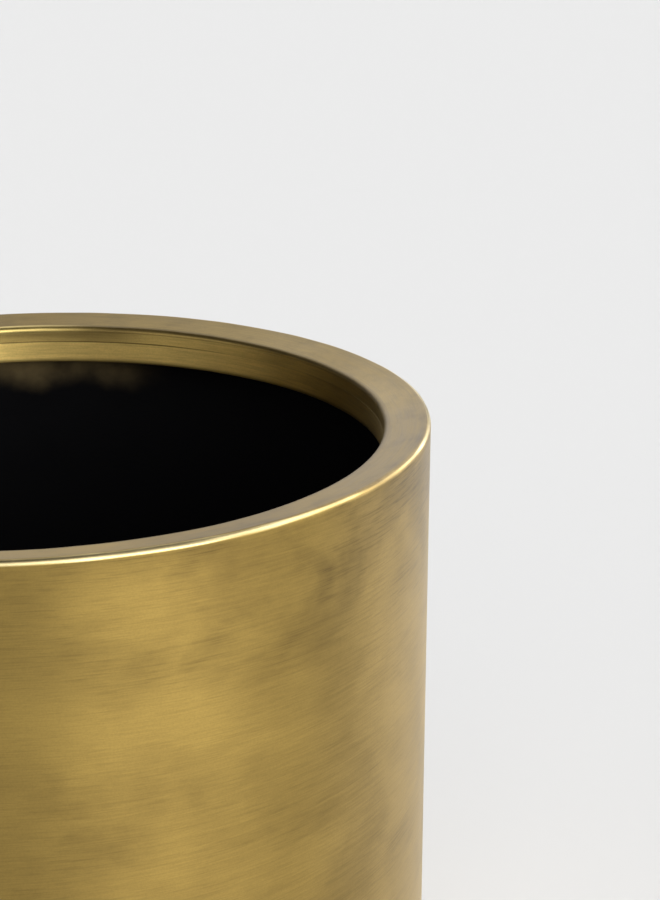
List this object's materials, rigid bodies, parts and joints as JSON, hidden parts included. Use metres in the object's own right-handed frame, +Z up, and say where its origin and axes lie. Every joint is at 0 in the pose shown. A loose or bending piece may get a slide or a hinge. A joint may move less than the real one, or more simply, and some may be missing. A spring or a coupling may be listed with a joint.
{
  "type": "planter pot",
  "caption": "Round straight-sided planter pot in antiqued sheet brass, with a flat inward-falling rim, a black-lined inside, a plugged drain hole and rubber feet.",
  "frame": {"origin": "on the floor, on the pot's axis, at the height of the rubber feet's undersides", "axes": "+Z up the pot's axis towards the rim; -Y is the side that faces the viewer; +X to the viewer's right"},
  "size_m": [0.4, 0.4, 0.4],
  "materials": {
    "antique_brass": "antiqued brass, fine brushed grain running round the pot, satin, with mottled darker patina and bright worn bends",
    "black_lining": "sprayed matte black waterproof coat with a faint orange-peel texture",
    "black_rubber": "moulded black rubber, matte"
  },
  "bodies": {
    "pot": {"wall": "antique_brass", "rim_ring": "antique_brass", "rim_skirt": "antique_brass", "base_pan": "antique_brass", "drain_collar": "antique_brass", "inner_lining": "black_lining", "foot_1": "black_rubber", "foot_2": "black_rubber", "foot_3": "black_rubber", "foot_4": "black_rubber"},
    "plug": {"drain_plug": "black_rubber"}
  },
  "joints": [
    {"name": "drain_plug_lift", "type": "slide", "parent": "pot", "child": "plug", "axis": [0, 0, 1], "range_m": [0, 0.41]}
  ]
}
